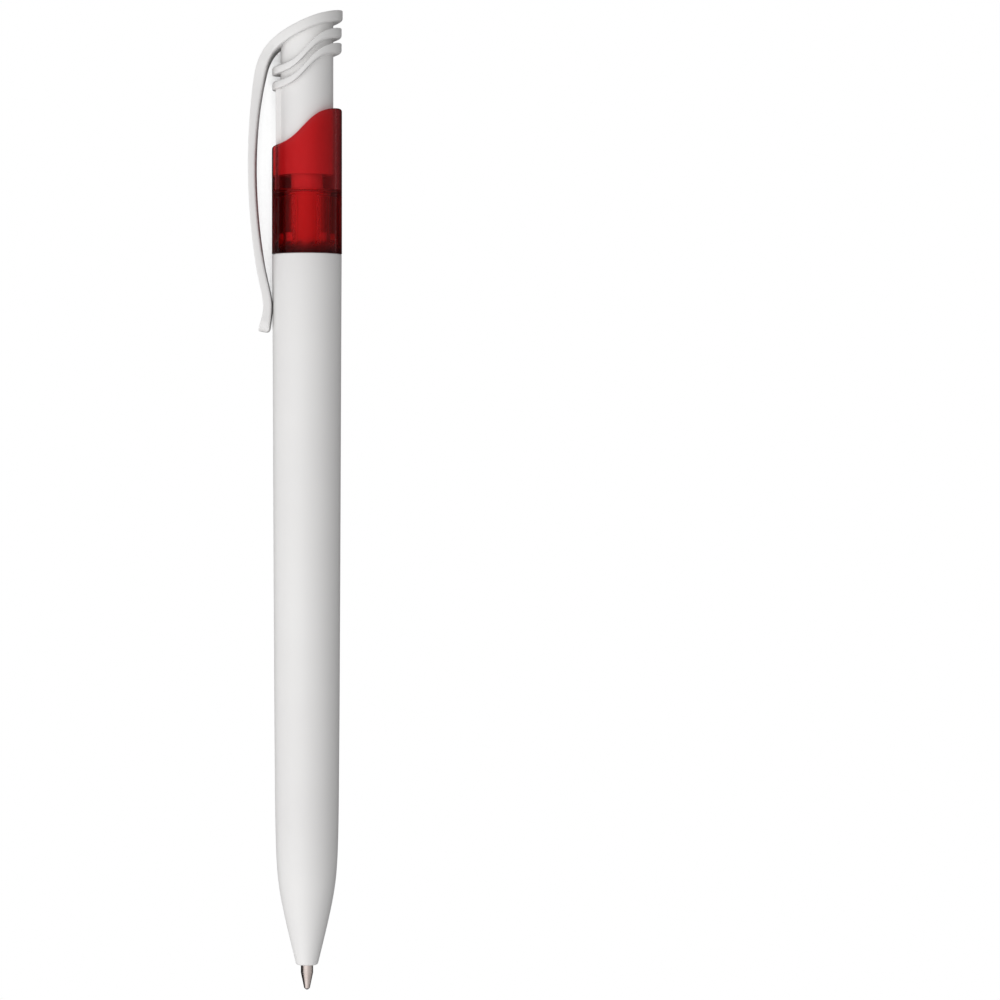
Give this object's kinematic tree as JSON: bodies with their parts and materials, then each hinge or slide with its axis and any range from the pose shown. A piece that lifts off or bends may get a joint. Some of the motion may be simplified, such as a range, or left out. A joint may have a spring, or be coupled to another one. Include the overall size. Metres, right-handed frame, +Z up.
{
  "type": "pushbutton ballpoint pen",
  "caption": "Slim white pushbutton ballpoint pen with a see-through red collar, a wavy-finned head that carries the pocket clip, and a sprung refill moved by a cam.",
  "frame": {"origin": "centre of the bounding box's bottom face, on the table that the pen lies on", "axes": "+X along the pen from the point to the button, +Z up, and the clip's arch bows towards +Y and rests its lower edge on the table"},
  "size_m": [0.14, 0.0136, 0.0102],
  "materials": {
    "white_plastic": "satin",
    "red_plastic": "clear gloss",
    "clear_tube": "satin",
    "red_ink": "wet",
    "natural_plastic": "matte",
    "nickel_silver": "turned",
    "spring_steel": "drawn wire",
    "carbide": "polished"
  },
  "bodies": {
    "root": {"barrel": "white_plastic", "collar": "red_plastic", "return_spring": "spring_steel"},
    "button": {"push_button": "white_plastic", "thrust_tube": "white_plastic"},
    "refill": {"refill_tube": "clear_tube", "ink_column": "red_ink", "point_holder": "natural_plastic", "refill_point": "nickel_silver"},
    "rotor": {"index_rotor": "white_plastic"},
    "ball": {"writing_ball": "carbide"}
  },
  "joints": [
    {"name": "button_slide", "type": "slide", "parent": "root", "child": "button", "axis": [1, 0, 0], "range_m": [-0.0015, 0.005], "stiffness_N_per_m": 300},
    {"name": "refill_slide", "type": "slide", "parent": "root", "child": "refill", "axis": [1, 0, 0], "range_m": [-0.0015, 0.005], "deforming": ["return_spring"]},
    {"name": "rotor_turn", "type": "hinge", "parent": "refill", "child": "rotor", "pos_m": [0.0315, -0.00173, 0.0051], "axis": [1, 0, 0], "continuous": true},
    {"name": "ball_roll", "type": "hinge", "parent": "refill", "child": "ball", "pos_m": [-0.06965, -0.00173, 0.0051], "axis": [0, 1, 0], "continuous": true}
  ],
  "couplings": [
    {"joint": "refill_slide", "follows": "button_slide", "ratio": 1}
  ]
}
